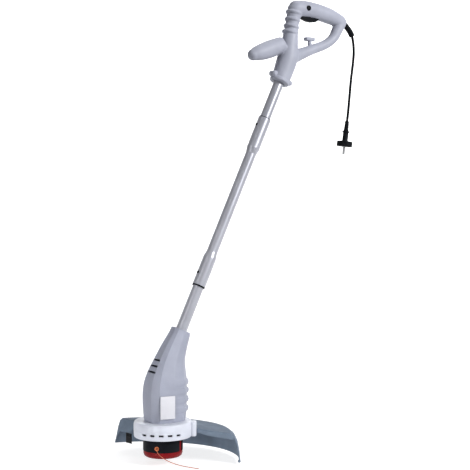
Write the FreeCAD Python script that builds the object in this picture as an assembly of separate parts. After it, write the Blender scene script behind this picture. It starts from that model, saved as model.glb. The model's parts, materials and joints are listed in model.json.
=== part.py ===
import FreeCAD, Part
import math
import os

# Electric string trimmer, in millimetres.  The parts are laid out from the cutting head: X runs from
# the head towards the user, Z is up along the spool axis and Z = 0 is the underside of the spool cover.
# save() then moves everything so that the origin is the middle of the rear grip.

V = FreeCAD.Vector
os.makedirs("parts", exist_ok=True)

# ---- driving dimensions -------------------------------------------------------------------------
GRIP_CENTRE = V(450, 0, 1001)      # becomes the origin
WALL = 2.6                         # moulded shells
FIT = 0.05                         # running fits and screws in their holes, on the radius

SHAFT_LEAN = 26.15                 # shaft against the vertical, degrees
SHAFT_FOOT = V(0, 0, 174)          # where the shaft's line meets the spool axis
TUBE_R = 12.5
TUBE_WALL = 1.2
FLARE_R = 15.1                     # swollen ends of the middle tube
FLARE_TAPER = 14.0
LOWER_TUBE = (70, 262)             # start and end along the shaft
MIDDLE_TUBE = (218, 638)
UPPER_TUBE = (592, 800)
LOWER_FLARE_END = 286
UPPER_FLARE_START = 562
SNAP_UPPER = 617
SNAP_LOWER = 245
BUTTON_R = 3.0
BUTTON_PROUD = 1.6
BUTTON_TRAVEL = 4.0

RING_R = 64.0                      # round base of the head
RING_LOW = 43.0
RING_TOP = 77.0
RING_FLOOR = 52.0
GUARD_FROM = -41.0                 # angles about the spool axis, from +X
GUARD_TO = 98.5
GUARD_LOW = -12.0
GUARD_THICK = 2.8
BLADE_ANGLE = 97.0
BLADE_INNER = 115.0
BLADE_WIDTH = 20.0
BLADE_SCREW_R = (120, 130)
BLADE_SCREW_Z = 22

MOTOR_SHAFT_R = 4.0
BEARING_R = 11.0
STATOR_R = 31.0
STATOR = (102, 148)
COIL_WINDOW = (21.0, 27.5)         # openings of the stator for the coils, from the axis
COIL_WINDOW_HALF = 9.5
COIL_OVERHANG = 6.0
ARMATURE_R = 17.0
ARMATURE_GAP = 0.7
ARMATURE_SLOTS = 12
COMMUTATOR = (155.5, 166)
COMMUTATOR_R = 9.5
BRUSH_LEVELS = (158, 163.5)
BRUSH_HALF = 2.5
BRUSH_REACH = (10, 18)             # a brush, from the shaft's axis
HOLDER_REACH = (11, 26)
HOLDER_LEVELS = (156.5, 168)
HOLDER_HALF = 4.0
FAN_R = 44.0
FAN_BLADES = 9
SPOOL_R = 44.0
SPOOL_LOW = 13.0
SPOOL_TOP = 41.0
KNOB_TRAVEL = 4.0
EYELET_ANGLE = -140.0
EYELET_Z = 22.5

CORD_R = 3.25
LINE_R = 0.8
DISC_R = 19.0
PIN_R = 2.4
PIN_LENGTH = 19.0
PIN_SPACING = 19.0

TRIGGER_PIVOT = V(388, 0, 994)
TRIGGER_HALF = 6.0
LOCK = V(397, 0, 1009)             # middle of the lock-off button
BUTTON_HOLE = 6.1
SWITCH_LOW = 1003
RELIEF_AXIS = (V(516, 0, 989.5), V(524, 0, 983))
RELIEF_R = 6.5

# Stations of the moulded handle: x, z and radius of a round section square to the path.
NECK = [(322.5, 831, 21.5), (337, 861, 23.5), (349, 893, 24.5), (354.5, 925, 20.5), (359.5, 955, 17),
        (364.5, 982, 16.5), (372.5, 1007, 19)]
GRIP = [(375.5, 1007.5, 20), (405, 1008, 20), (440, 1004.5, 19.5), (478, 997, 18.5), (512, 986.5, 15.5)]
REAR_ARM = [(511, 985, 15), (499, 962, 13.5), (485.5, 943.5, 12), (460, 928, 11.5), (424, 915.5, 12),
            (385, 901.5, 14.5), (353, 891, 19)]
HANDLE_ENDS = [(375.2, 1007.3, 20.1), (511.5, 985.8, 15.3), (248.6, 892.9, 13.8), (351, 892.5, 24)]
FRONT_LOBE = [(248, 892.5, 13.5), (259, 896.5, 17), (277, 902, 19.5), (303, 911, 20.5), (332, 922, 18)]
# Section of the motor housing, one side of it: x and half width, scaled along the height.
HOUSING_SIDE = [(-46, 18), (-34, 34), (3, 42), (30, 39), (46, 24), (51, 8)]
# Height, middle and scale of each housing section.
HOUSING_LEVELS = [(77, 0, 0.97), (95, 1, 1.0), (150, 2, 1.0), (170, 6, 0.92), (190, 11, 0.79),
                  (208, 16, 0.69), (226, 24, 0.61), (246, 33.5, 0.545), (270, 45, 0.49), (294, 57, 0.455)]
HOUSING_TOP = 110                  # square end of the housing, along the shaft
HOUSING_CAVITY_TOP = 6             # index of the last level that is hollow

# Screws of the two pairs of shells, and the bosses that hold them.
SCREW_R = 1.5
SCREW_HEAD_R = 3.0
SCREW_HEAD = 2.2
HEAD_HOLE_R = 3.3
HANDLE_BOSS_R = 3.8
PIVOT_BOSS_R = 4.5
HOUSING_BOSS_R = 4.0
BEYOND = 30                        # past the outside of any shell of the handle
# Handle shells: collar, clamp ears along the shaft, and screws.
HANDLE_COLLAR_R = 23.5
HANDLE_COLLAR = (734, 740)
EAR_S = 745
EAR_REACH = 24.5
EAR_R = 6.0
EAR_HALF = 9.0
HANDLE_SCREWS = [(368, 976), (494, 962), (440, 922.5), (268, 902.5)]
# Motor housing screws and cooling slots.
HOUSING_SCREWS = [(-33, 92), (38, 92), (3, 199), (33, 196), (15, 246)]
SLOTS = 3
# Guard: its collar, screws and the section of its plate.
GUARD_SCREW_ANGLES = (0, 32, 64)
GUARD_SCREW_Z = 50.5
GUARD_SCREW_R = 2.0
BLADE_THICK = 1.4
BLADE_LEVELS = (5, 28)
COLLAR_IN = RING_R + 0.7
COLLAR_OUT = RING_R + 3.7
PLATE_TOP = [(66.8, 64), (RING_R + 8, 60.5), (136, 51.5), (149, 51), (158.5, 43.5), (165, 29),
             (169, 8), (171, GUARD_LOW)]
# The plate turned down at its blade end.
PLATE_END = [(66.8, 62), (RING_R + 8, 56), (100, 45), (118, 33), (152, 31), (161, 20), (166, 10),
             (170, 0)]
GUARD_BEND = 96.0                  # where the plate starts to turn down
GUARD_RISE = [(GUARD_FROM, 0), (-20, 0), (0, 0), (20, 0), (40, 0.7), (58, 2.6), (74, 5.8),
              (GUARD_BEND, 11)]
VENT_MIDDLE = 234                  # air slots of the base ring: middle, pitch and half width
VENT_PITCH = 17.7
VENT_HALF = 5.2
VENT_LEVELS = (52.4, 57.0)
VENTS_ASIDE = 2                    # slots on either side of the middle one

CORD_ROUTE = [V(549.5, 0, 955), V(555, 0.6, 937), V(556.6, 1.2, 911), V(552.8, 1.0, 883),
              V(547.3, 0, 855), V(542.9, -1.2, 827), V(539.8, -1.6, 799), V(537.4, -1.0, 773),
              V(534.7, 0, 748)]
LINE_ROUTE = [V(-33.7, -28.3, 22.5), V(-40.5, -38, 20.5), V(-44.5, -54, 15.5), V(-43, -73, 9.8),
              V(-36.5, -92, 4.8), V(-25.5, -109, 0.8), V(-11.5, -123.5, -2.2), V(3, -136, -4.5)]

X = V(1, 0, 0)
Y = V(0, 1, 0)
Z = V(0, 0, 1)
LEAN = math.radians(SHAFT_LEAN)
ALONG = V(math.sin(LEAN), 0, math.cos(LEAN))
FRONT = V(-math.cos(LEAN), 0, math.sin(LEAN))


# ---- helpers ------------------------------------------------------------------------------------
def save(node, *solids):
    """Write the solids of one piece, moved so that the grip's middle is the origin."""
    shape = solids[0] if len(solids) == 1 else Part.makeCompound(list(solids))
    shape = shape.copy()
    shape.translate(-GRIP_CENTRE)
    shape.exportStep("parts/" + node + ".step")
    count = len(shape.Solids)
    print(f"{node}: {count} solid(s), {shape.Volume / 1000:.2f} cm3, valid {shape.isValid()}")


def on_shaft(s, front=0.0):
    """A point s along the shaft, and front of its axis by that much."""
    return SHAFT_FOOT + ALONG * s + FRONT * front


def rod_on_shaft(r, start, end, front=0.0):
    return Part.makeCylinder(r, end - start, on_shaft(start, front), ALONG)


def drum(r, low, high, x=0.0, y=0.0):
    """An upright cylinder."""
    return Part.makeCylinder(r, high - low, V(x, y, low), Z)


def ring(outer, inner, low, high):
    return drum(outer, low, high).cut(drum(inner, low - 1, high + 1))


def block(x0, x1, y0, y1, z0, z1):
    return Part.makeBox(x1 - x0, y1 - y0, z1 - z0, V(x0, y0, z0))


def mirrored_blocks(half, near, far, low, high):
    """Two blocks on either side of the XZ plane."""
    return [block(-half, half, near, far, low, high), block(-half, half, -far, -near, low, high)]


def across(r, x, z, y0, y1):
    """A cylinder along Y."""
    return Part.makeCylinder(r, y1 - y0, V(x, y0, z), Y)


def turned(shape, angle):
    """A copy turned about the spool axis."""
    copy = shape.copy()
    copy.rotate(V(0, 0, 0), Z, angle)
    return copy


def fused(shapes):
    return shapes[0].multiFuse(shapes[1:]) if len(shapes) > 1 else shapes[0]


def revolve_half(points, start, end):
    """Turn an (r, z) outline about the spool axis from one angle to the other."""
    wire = Part.makePolygon([V(r, 0, z) for r, z in points + points[:1]])
    solid = Part.Face(wire).revolve(V(0, 0, 0), Z, end - start)
    return turned(Part.Solid(solid) if solid.ShapeType == "Shell" else solid, start)


def circle_wire(centre, direction, r):
    """A circle square to a direction in the XZ plane, its seam always on the same side."""
    edge = Part.makeCircle(r)
    edge.rotate(V(0, 0, 0), Y, math.degrees(math.atan2(direction.x, direction.z)))
    edge.translate(centre)
    return Part.Wire([edge])


def loft_rod(stations, thinner=0.0):
    """A smooth rod through round stations (x, z, r)."""
    points = [V(x, 0, z) for x, z, r in stations]
    wires = []
    for i, (x, z, r) in enumerate(stations):
        ahead = points[min(i + 1, len(points) - 1)]
        behind = points[max(i - 1, 0)]
        wires.append(circle_wire(points[i], ahead - behind, r - thinner))
    return Part.makeLoft(wires, True, False)


def coil(r, wire_r, length, turns, foot, direction):
    """A coil spring with its foot at a point."""
    pitch = (length - 2 * wire_r) / turns
    helix = Part.makeHelix(pitch, length - 2 * wire_r, r)
    profile = Part.Wire([Part.makeCircle(wire_r, V(r, 0, 0), Y)])
    spring = Part.Wire(helix.Edges).makePipeShell([profile], True, True)
    spring.translate(V(0, 0, wire_r))
    spring.Placement = FreeCAD.Placement(foot, FreeCAD.Rotation(Z, direction)).multiply(spring.Placement)
    return spring


def cord_tube(route, r, name):
    """Straight runs joined by tangent arcs, as large as the two runs at each point allow."""
    edges = []
    radii = []
    last = route[0]
    for before, corner, after in zip(route, route[1:], route[2:]):
        arriving = (corner - before).normalize()
        leaving = (after - corner).normalize()
        half_turn = arriving.getAngle(leaving) / 2
        reach = 0.45 * min((corner - before).Length, (after - corner).Length)
        radii.append(reach / math.tan(half_turn))
        start = corner - arriving * reach
        end = corner + leaving * reach
        bisector = (leaving - arriving).normalize()
        middle = corner + bisector * (radii[-1] / math.cos(half_turn) - radii[-1])
        edges.append(Part.LineSegment(last, start).toShape())
        edges.append(Part.Arc(start, middle, end).toShape())
        last = end
    edges.append(Part.LineSegment(last, route[-1]).toShape())
    path = Part.Wire(edges)
    mouth = Part.Wire([Part.makeCircle(r, route[0], (route[1] - route[0]).normalize())])
    tube = path.makePipeShell([mouth], True, False)
    ratio = tube.Volume / (math.pi * r * r * path.Length)
    print(f"{name}: length {path.Length:.1f}, volume ratio {ratio:.4f}, radii",
          [round(radius, 1) for radius in radii])
    return tube


# ---- handle -------------------------------------------------------------------------------------
def handle_form(thinner=0.0):
    """The handle's outer form, or the hollow inside it when it is made thinner."""
    neck = NECK if thinner == 0 else NECK[1:]
    parts = [loft_rod(neck, thinner), loft_rod(GRIP, thinner), loft_rod(REAR_ARM, thinner),
             loft_rod(FRONT_LOBE, thinner)]
    for x, z, r in HANDLE_ENDS:
        parts.append(Part.makeSphere(r - thinner, V(x, 0, z)))
    return fused(parts)


def ear_points():
    return [on_shaft(EAR_S, side * EAR_REACH) for side in (1, -1)]


def handle_shells():
    """Two halves of the handle, split on the mid plane, with their bosses and openings."""
    outer = handle_form()
    ears = []
    for point in ear_points():
        ears.append(across(EAR_R, point.x, point.z, -EAR_HALF, EAR_HALF))
    web = Part.makeBox(2 * EAR_REACH, 10, 9, V(-EAR_REACH, -5, -4.5))
    web.rotate(V(0, 0, 0), Y, SHAFT_LEAN)
    web.translate(on_shaft(EAR_S))
    collar = rod_on_shaft(HANDLE_COLLAR_R, *HANDLE_COLLAR)
    outer = outer.fuse(fused(ears + [web, collar]))
    bosses = [across(HANDLE_BOSS_R, x, z, -BEYOND, BEYOND) for x, z in HANDLE_SCREWS]
    beside = TRIGGER_HALF + 0.4
    bosses.append(across(PIVOT_BOSS_R, TRIGGER_PIVOT.x, TRIGGER_PIVOT.z, -BEYOND, -beside))
    bosses.append(across(PIVOT_BOSS_R, TRIGGER_PIVOT.x, TRIGGER_PIVOT.z, beside, BEYOND))
    hollow = handle_form(WALL)
    for boss in bosses:
        hollow = hollow.cut(boss)
    form = outer.cut(hollow)
    cuts = [rod_on_shaft(TUBE_R, 700, UPPER_TUBE[1] + 1)]
    cuts.append(block(384, 440.5, -7, 7, 970, 992))
    cuts.append(across(BUTTON_HOLE, LOCK.x, LOCK.z, -BEYOND, -13))
    relief_way = RELIEF_AXIS[1] - RELIEF_AXIS[0]
    cuts.append(Part.makeCylinder(RELIEF_R + 0.2, 24, RELIEF_AXIS[0] - relief_way * 0.1, relief_way))
    cuts.append(across(SCREW_R, TRIGGER_PIVOT.x, TRIGGER_PIVOT.z, -12, 12))
    for x, z in HANDLE_SCREWS + [(p.x, p.z) for p in ear_points()]:
        cuts.append(across(SCREW_R + FIT, x, z, -6 - FIT, BEYOND))
        cuts.append(across(HEAD_HOLE_R, x, z, 5, BEYOND))
    form = form.cut(fused(cuts))
    far = block(0, 700, 0, 100, 700, 1100)
    near = block(0, 700, -100, 0, 700, 1100)
    save("handle_shell_left", form.common(far))
    save("handle_shell_right", form.common(near))
    screws = []
    for x, z in HANDLE_SCREWS + [(p.x, p.z) for p in ear_points()]:
        screw = across(SCREW_R, x, z, -6, 6)
        screw = screw.fuse(across(SCREW_HEAD_R, x, z, 5, 5 + SCREW_HEAD))
        screws.append(screw.cut(across(1.2, x, z, 6, 8)))
    save("handle_screws", *screws)


def trigger_parts():
    outline = [V(385.6, 0, 988), V(392, 0, 984), V(404, 0, 980), V(419, 0, 978.4), V(431, 0, 980),
               V(438.3, 0, 985.5), V(436.5, 0, 993), V(425, 0, 995.8), V(392, 0, 998), V(385, 0, 997)]
    face = Part.Face(Part.makePolygon(outline + outline[:1]))
    lever = face.extrude(V(0, 2 * TRIGGER_HALF, 0))
    lever.translate(V(0, -TRIGGER_HALF, 0))
    lever = lever.makeFillet(1.2, [e for e in lever.Edges if e.BoundBox.YLength < 0.01
                                   and e.BoundBox.ZMax < 990])
    lever = lever.cut(across(SCREW_R + FIT, TRIGGER_PIVOT.x, TRIGGER_PIVOT.z, -10, 10))
    save("trigger", lever)
    save("trigger_pin", across(SCREW_R, TRIGGER_PIVOT.x, TRIGGER_PIVOT.z, -11.5, 11.5))
    switch = block(388, 432, -7, 7, SWITCH_LOW, SWITCH_LOW + 13)
    save("switch", switch.fuse(drum(1.8, SWITCH_LOW - 2.2, SWITCH_LOW, 426, 0)))
    save("trigger_spring", coil(3.0, 0.4, 6.6, 3, V(414, 0, 996.3), Z))
    pocket = across(4.2, LOCK.x, LOCK.z, -18, -10)
    button = across(BUTTON_HOLE - 0.3, LOCK.x, LOCK.z, -21.4, -11)
    button = button.fuse(across(BUTTON_HOLE + 0.8, LOCK.x, LOCK.z, -14.8, -13.6))
    save("lock_button", button.cut(pocket))
    save("lock_spring", coil(3.2, 0.35, 10.6, 5, V(LOCK.x, -17.8, LOCK.z), Y))
    save("capacitor", block(452, 474, -4, 4, 992, 1005))


def cord_parts():
    """Strain relief, clamp, cord and two-pin plug, in the line in which they hang."""
    points = list(RELIEF_AXIS) + [V(533.5, 0, 974.3), V(542, 0, 965.5), CORD_ROUTE[0]]
    radii = (RELIEF_R, RELIEF_R, 6.2, 5.9, 5.6)
    wires = []
    for i, r in enumerate(radii):
        ahead = points[i + 1] if i < len(points) - 1 else CORD_ROUTE[1]
        behind = points[i - 1] if 0 < i < len(points) - 1 else points[i]
        wires.append(circle_wire(points[i], ahead - behind, r))
    save("strain_relief", Part.makeLoft(wires, True, False))
    save("cord_clamp", block(476, 492, -8, 8, 988, 991.5))
    save("clamp_screws", *[drum(SCREW_R, 988 - 5, 988, 484, side) for side in (-6, 6)])
    save("power_cord", cord_tube(CORD_ROUTE, CORD_R, "power_cord"))

    way = (CORD_ROUTE[-1] - CORD_ROUTE[-2]).normalize()
    top = CORD_ROUTE[-1]

    def piece(r, begin, end):
        return Part.makeCylinder(r, end - begin, top + way * begin, way)

    sleeve = Part.makeCone(5.2, 6.2, 24, top, way)
    body = piece(6.7, 24, 49)
    collar = piece(9.2, 24, 27)
    disc = piece(DISC_R, 49, 62)
    save("plug", fused([sleeve, body, collar, disc]))
    side = V(0.59, 0.81, 0)
    side = (side - way * side.dot(way)).normalize()
    pins = []
    for sign in (1, -1):
        foot = top + way * 62 + side * (sign * PIN_SPACING / 2)
        pins.append(Part.makeCylinder(PIN_R, PIN_LENGTH, foot, way))
        tip = foot - GRIP_CENTRE
        print("pin foot", [round(c / 1000, 5) for c in tip], "axis", [round(c, 5) for c in way])
    save("plug_pins", *pins)


def cord_hook():
    stem = Part.makeCylinder(3.6, 14, V(418, 0, 924), V(-0.2, 0, 1))
    cap = block(401, 428, -6.5, 6.5, 935.2, 943.2)
    cap = cap.makeFillet(3.0, cap.Edges)
    foot = loft_rod(REAR_ARM, -0.02)
    save("cord_hook", cap.fuse(stem).cut(foot))


# ---- shaft --------------------------------------------------------------------------------------
def sleeve_on_shaft(outer, inner, start, end):
    return rod_on_shaft(outer, start, end).cut(rod_on_shaft(inner, start - 1, end + 1))


def snap_hole(s):
    return Part.makeCylinder(BUTTON_R + 0.3, 30, on_shaft(s, 3), FRONT)


def shaft_tubes():
    inner = TUBE_R - TUBE_WALL
    lower = sleeve_on_shaft(TUBE_R, inner, *LOWER_TUBE)
    upper = sleeve_on_shaft(TUBE_R, inner, *UPPER_TUBE)
    start, end = MIDDLE_TUBE
    outside = fused([rod_on_shaft(TUBE_R, start, end),
                     rod_on_shaft(FLARE_R, start, LOWER_FLARE_END),
                     Part.makeCone(FLARE_R, TUBE_R, FLARE_TAPER, on_shaft(LOWER_FLARE_END), ALONG),
                     Part.makeCone(TUBE_R, FLARE_R, FLARE_TAPER,
                                   on_shaft(UPPER_FLARE_START - FLARE_TAPER), ALONG),
                     rod_on_shaft(FLARE_R, UPPER_FLARE_START, end)])
    bore = fused([rod_on_shaft(inner, start - 1, end + 1),
                  rod_on_shaft(TUBE_R + FIT, start - 1, LOWER_TUBE[1] + 1),
                  rod_on_shaft(TUBE_R + FIT, UPPER_TUBE[0] - 1, end + 1)])
    middle = outside.cut(bore).cut(snap_hole(SNAP_LOWER)).cut(snap_hole(SNAP_UPPER))
    save("lower_tube", lower.cut(snap_hole(SNAP_LOWER)))
    save("middle_tube", middle)
    save("upper_tube", upper.cut(snap_hole(SNAP_UPPER)))
    save("joint_ring_lower", sleeve_on_shaft(FLARE_R - 0.3, TUBE_R + FIT, start - 3, start))
    save("joint_ring_upper", sleeve_on_shaft(FLARE_R - 0.6, TUBE_R + FIT, end, end + 1.6))


def snap_parts(name, s):
    """A spring button that looks out through both tubes, and the bent leaf behind it."""
    top = FLARE_R + BUTTON_PROUD
    stem = Part.makeCylinder(BUTTON_R, top - 9.0, on_shaft(s, 9.0), FRONT)
    save("snap_button_" + name, stem.makeFillet(0.9, [stem.Edges[0]]))
    upper_leaf = Part.makeBox(0.8, 6, 34, V(8.1, -3, -6))
    lower_leaf = Part.makeBox(0.8, 6, 34, V(4.2, -3, -6))
    bend = Part.makeBox(4.7, 6, 0.8, V(4.2, -3, 28))
    leaf = fused([upper_leaf, lower_leaf, bend])
    turn = FreeCAD.Rotation(FRONT, Y.negative(), ALONG, "XZY")
    leaf.Placement = FreeCAD.Placement(on_shaft(s), turn)
    save("snap_spring_" + name, leaf)


def inner_cable():
    save("inner_cable", rod_on_shaft(2.8, 62, 820, -5.5))


# ---- motor housing ------------------------------------------------------------------------------
def housing_wire(level, thinner=0.0):
    z, middle, scale = level
    half = [(x * scale, y * scale) for x, y in HOUSING_SIDE]
    if thinner:
        half = [(x - math.copysign(min(thinner, abs(x)), x), y - thinner) for x, y in half]
    points = [V(middle + x, y, z) for x, y in half]
    points += [V(middle + x, -y, z) for x, y in reversed(half)]
    return Part.makePolygon(points + points[:1])


def motor_housing():
    outer = Part.makeLoft([housing_wire(level) for level in HOUSING_LEVELS], True, True)
    above = Part.makeBox(200, 200, 100, V(-100, -100, 0))
    above.rotate(V(0, 0, 0), Y, SHAFT_LEAN)
    above.translate(on_shaft(HOUSING_TOP))
    outer = outer.cut(above)
    hollow = Part.makeLoft([housing_wire(level, WALL + 0.4)
                            for level in HOUSING_LEVELS[:HOUSING_CAVITY_TOP]], True, True)
    bosses = fused([across(HOUSING_BOSS_R, x, z, -60, 60) for x, z in HOUSING_SCREWS])
    form = outer.cut(hollow.cut(bosses))
    cuts = [rod_on_shaft(TUBE_R, LOWER_TUBE[0], 200)]
    cuts.append(rod_on_shaft(6, 40, LOWER_TUBE[0], -3))
    for i in range(SLOTS):
        z = 212 - 12.5 * i
        half = 12.5 + 1.4 * i
        cuts.append(block(-60, -5 - 7 * i, -half, half, z - 2, z + 2))
    for x, z in HOUSING_SCREWS:
        cuts.append(across(SCREW_R + FIT, x, z, -8 - FIT, 70))
        cuts.append(across(HEAD_HOLE_R, x, z, 7, 70))
    form = form.cut(fused(cuts))
    save("housing_left", form.common(block(-100, 100, 0, 100, 0, 400)))
    save("housing_right", form.common(block(-100, 100, -100, 0, 0, 400)))
    screws = []
    for x, z in HOUSING_SCREWS:
        screw = across(SCREW_R, x, z, -8, 8)
        screws.append(screw.fuse(across(SCREW_HEAD_R, x, z, 7, 7 + SCREW_HEAD)))
    save("housing_screws", *screws)


def motor():
    """Universal motor: carried by a plate below and a bracket above, its shaft down to the spool."""
    low, high = STATOR
    shaft_hole = MOTOR_SHAFT_R + FIT
    save("motor_shaft", drum(MOTOR_SHAFT_R, 30, 186))
    plate = ring(36, 6, 77, 80).fuse(ring(BEARING_R + 3, BEARING_R, 80, 87))
    save("bearing_plate", plate)
    save("lower_bearing", ring(BEARING_R, shaft_hole, 80, 87))
    bracket = ring(29, 7, 168, 170.5).fuse(ring(BEARING_R, 8.5, 170.5, 177))
    save("brush_bracket", bracket)
    save("upper_bearing", ring(8.5, shaft_hole, 170.5, 176.5))
    stator = ring(STATOR_R, ARMATURE_R + ARMATURE_GAP, low, high)
    stator = stator.cut(fused(mirrored_blocks(COIL_WINDOW_HALF, *COIL_WINDOW, low, high)))
    save("stator_core", stator)
    bars = mirrored_blocks(COIL_WINDOW_HALF - 0.2, COIL_WINDOW[0] + 0.2, COIL_WINDOW[1] - 0.2,
                           low - COIL_OVERHANG, high + COIL_OVERHANG)
    save("field_coils", *[bar.makeFillet(2.5, bar.Edges) for bar in bars])
    core = drum(ARMATURE_R, low + 2, high - 2)
    for i in range(ARMATURE_SLOTS):
        slot = block(12, 18, -0.9, 0.9, low, high)
        core = core.cut(turned(slot, 360 / ARMATURE_SLOTS * i))
    save("armature_core", core.cut(drum(MOTOR_SHAFT_R, low, high)))
    ends = []
    for z in (low - 5, high - 2):
        end = ring(14.5, MOTOR_SHAFT_R, z, z + 7)
        ends.append(end.makeFillet(2, [e for e in end.Edges if e.BoundBox.XLength > 20]))
    save("armature_windings", *ends)
    save("commutator", ring(COMMUTATOR_R, MOTOR_SHAFT_R, *COMMUTATOR))
    save("carbon_brushes", *mirrored_blocks(BRUSH_HALF, *BRUSH_REACH, *BRUSH_LEVELS))
    channels = fused(mirrored_blocks(BRUSH_HALF, HOLDER_REACH[0], HOLDER_REACH[1] - 2, *BRUSH_LEVELS))
    holders = mirrored_blocks(HOLDER_HALF, *HOLDER_REACH, *HOLDER_LEVELS)
    save("brush_holders", *[holder.cut(channels) for holder in holders])
    springs = [coil(1.7, 0.3, 5.9, 5, V(0, s * 18.05, 160.75), Y * s) for s in (1, -1)]
    save("brush_springs", *springs)


def fan():
    blades = []
    for i in range(FAN_BLADES):
        blades.append(turned(block(9, FAN_R, -0.9, 0.9, 58, 68), 360 / FAN_BLADES * i))
    wheel = fused([drum(FAN_R, 68, 70), drum(10, 57, 70)] + blades)
    save("fan", wheel.cut(drum(MOTOR_SHAFT_R, 50, 80)))


# ---- base ring and guard ------------------------------------------------------------------------
def base_ring():
    wall = [(RING_R - 1.5, RING_LOW), (RING_R, RING_LOW + 3), (RING_R + 0.6, 60), (RING_R, RING_TOP - 4),
            (RING_R - 3, RING_TOP), (38, RING_TOP), (38, RING_TOP - 3), (RING_R - 5, RING_TOP - 3),
            (RING_R - 3.2, RING_TOP - 6), (RING_R - 3.2, RING_FLOOR), (13, RING_FLOOR),
            (13, RING_FLOOR - 3), (RING_R - 3.2, RING_FLOOR - 3), (RING_R - 3.2, RING_LOW)]
    form = revolve_half(wall, 0, 360)
    lug = turned(block(RING_R - 3, RING_R + 9, -14, 12, 46, 70), GUARD_FROM + 6)
    lug = lug.makeChamfer(4, [e for e in lug.Edges if e.BoundBox.ZLength > 5])
    form = form.fuse(lug)
    vents = []
    for i in range(-VENTS_ASIDE, VENTS_ASIDE + 1):
        angle = VENT_MIDDLE + VENT_PITCH * i
        vents.append(turned(block(RING_R - 10, RING_R + 10, -VENT_HALF, VENT_HALF, *VENT_LEVELS), angle))
    form = form.cut(fused(vents))
    for angle in GUARD_SCREW_ANGLES:
        hole = Part.makeCylinder(GUARD_SCREW_R + FIT, 20, V(55, 0, GUARD_SCREW_Z), X)
        form = form.cut(turned(hole, angle))
    save("base_ring", form)


def guard_section(angle, plate, rise):
    """The guard's section at an angle: its collar, plate and skirt, lifted towards the rim."""
    under = [(r - GUARD_THICK * 0.75, z - GUARD_THICK * 0.8) for r, z in plate[1:-1]]
    outline = [(COLLAR_IN, 44), (COLLAR_IN, plate[0][1])] + plate
    outline += [(plate[-1][0] - GUARD_THICK, plate[-1][1])] + list(reversed(under))
    outline += [(COLLAR_OUT, plate[0][1] - 8), (COLLAR_OUT, 44)]
    rim = plate[-1][0]
    points = []
    for r, z in outline:
        lift = rise * max(0, r - COLLAR_OUT) / (rim - COLLAR_OUT)
        points.append(V(r, 0, z + lift))
    wire = Part.makePolygon(points + points[:1])
    wire.rotate(V(0, 0, 0), Z, angle)
    return wire


def guard_parts():
    sections = [guard_section(angle, PLATE_TOP, rise) for angle, rise in GUARD_RISE]
    shell = Part.makeLoft(sections, True, False)
    end = Part.makeLoft([sections[-1], guard_section(GUARD_TO, PLATE_END, 0)], True, True)
    lug_room = turned(block(RING_R - 4, RING_R + 9.3, -14.3, 12.3, 45.7, 72.3), GUARD_FROM + 6)
    lip = [(72, 58), (135, 47.5), (147, 47), (155, 41), (155, 34), (146, 35), (100, 42), (72, 52)]
    lip_face = Part.Face(Part.makePolygon([V(r, 0, z) for r, z in lip + lip[:1]]))
    nub = Part.makeSphere(3.2, V(169, 2.5, GUARD_LOW + 0.5))
    tab = block(BLADE_INNER - 2, BLADE_INNER + BLADE_WIDTH + 2, -6, -3, 14, 57)
    body = [shell, end, turned(lip_face.extrude(V(0, 3, 0)), GUARD_FROM), turned(nub, GUARD_FROM),
            turned(tab, BLADE_ANGLE)]
    holes = [lug_room]
    for angle in GUARD_SCREW_ANGLES:
        hole = Part.makeCylinder(GUARD_SCREW_R + FIT, 20, V(55, 0, GUARD_SCREW_Z), X)
        holes.append(turned(hole, angle))
    for r in BLADE_SCREW_R:
        hole = Part.makeCylinder(SCREW_R + FIT, 12, V(r, -8, BLADE_SCREW_Z), Y)
        holes.append(turned(hole, BLADE_ANGLE))
    save("guard", fused(body).cut(fused(holes)))
    screws = []
    for angle in GUARD_SCREW_ANGLES:
        screw = Part.makeCylinder(GUARD_SCREW_R, 10, V(58.5, 0, GUARD_SCREW_Z), X)
        head = Part.makeCylinder(3.6, 2, V(COLLAR_OUT, 0, GUARD_SCREW_Z), X)
        screws.append(turned(screw.fuse(head), angle))
    save("guard_screws", *screws)
    blade = block(BLADE_INNER, BLADE_INNER + BLADE_WIDTH, -3, -3 + BLADE_THICK, *BLADE_LEVELS)
    blade_screws = []
    for r in BLADE_SCREW_R:
        blade = blade.cut(Part.makeCylinder(SCREW_R + FIT, 12, V(r, -8, BLADE_SCREW_Z), Y))
        screw = Part.makeCylinder(SCREW_R, 4.4, V(r, -6, BLADE_SCREW_Z), Y)
        head = Part.makeCylinder(2.6, 1.4, V(r, -3 + BLADE_THICK, BLADE_SCREW_Z), Y)
        blade_screws.append(turned(screw.fuse(head), BLADE_ANGLE))
    save("cutter_blade", turned(blade, BLADE_ANGLE))
    save("blade_screws", *blade_screws)


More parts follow.
